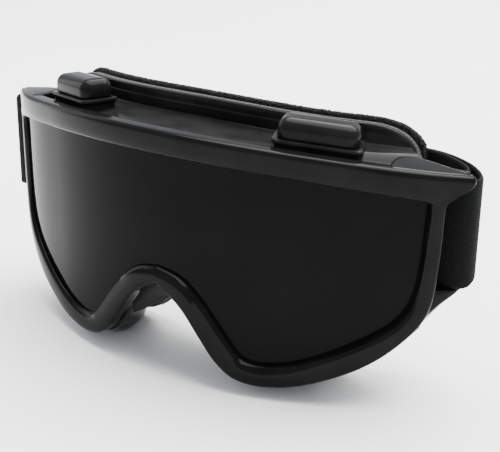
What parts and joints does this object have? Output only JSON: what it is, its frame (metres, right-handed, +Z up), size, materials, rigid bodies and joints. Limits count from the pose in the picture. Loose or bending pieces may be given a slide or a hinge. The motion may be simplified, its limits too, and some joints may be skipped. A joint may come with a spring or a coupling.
{
  "type": "welding goggles",
  "caption": "Wrap-round welding goggles with a dark curved lens, roof vents, a padded face flange and an elastic head strap with a slider.",
  "frame": {"origin": "on the standing plane, under the middle of the goggles", "axes": "+X across the face towards the right in front view, +Y from the lens to the face, +Z up"},
  "size_m": [0.18, 0.0632, 0.0887],
  "materials": {
    "frame_plastic": "glossy moulded black",
    "body_plastic": "glossy flexible black",
    "vent_plastic": "satin black",
    "slider_plastic": "satin black",
    "dark_lens": "polished dark smoke",
    "foam": "open-cell foam, black",
    "fabric": "brushed pile, black",
    "webbing": "woven elastic, black"
  },
  "bodies": {
    "frame": {"front_frame": "frame_plastic", "lens": "dark_lens", "face_body": "body_plastic", "face_foam": "foam", "face_fabric": "fabric", "vent_base_left": "body_plastic", "vent_base_right": "body_plastic", "vent_baffle_left": "vent_plastic", "vent_baffle_right": "vent_plastic", "strap_end_left": "webbing", "strap_end_right": "webbing"},
    "cap_left": {"vent_cap_left": "vent_plastic"},
    "cap_right": {"vent_cap_right": "vent_plastic"},
    "strap": {"strap_band": "webbing", "strap_tail": "webbing"},
    "slider": {"strap_slider": "slider_plastic"}
  },
  "joints": [
    {"name": "strap_pull", "type": "slide", "parent": "frame", "child": "strap", "axis": [0, 1, 0], "range_m": [0, 0.06], "deforming": ["strap_end_left", "strap_end_right"]},
    {"name": "slider_adjust", "type": "slide", "parent": "strap", "child": "slider", "axis": [1, 0, 0], "range_m": [-0.055, 0.02], "deforming": ["strap_tail"]},
    {"name": "cap_left_pull", "type": "slide", "parent": "frame", "child": "cap_left", "axis": [-0.083, 0.037, 0.9959], "range_m": [0, 0.006]},
    {"name": "cap_right_pull", "type": "slide", "parent": "frame", "child": "cap_right", "axis": [0.083, 0.037, 0.9959], "range_m": [0, 0.006]}
  ]
}
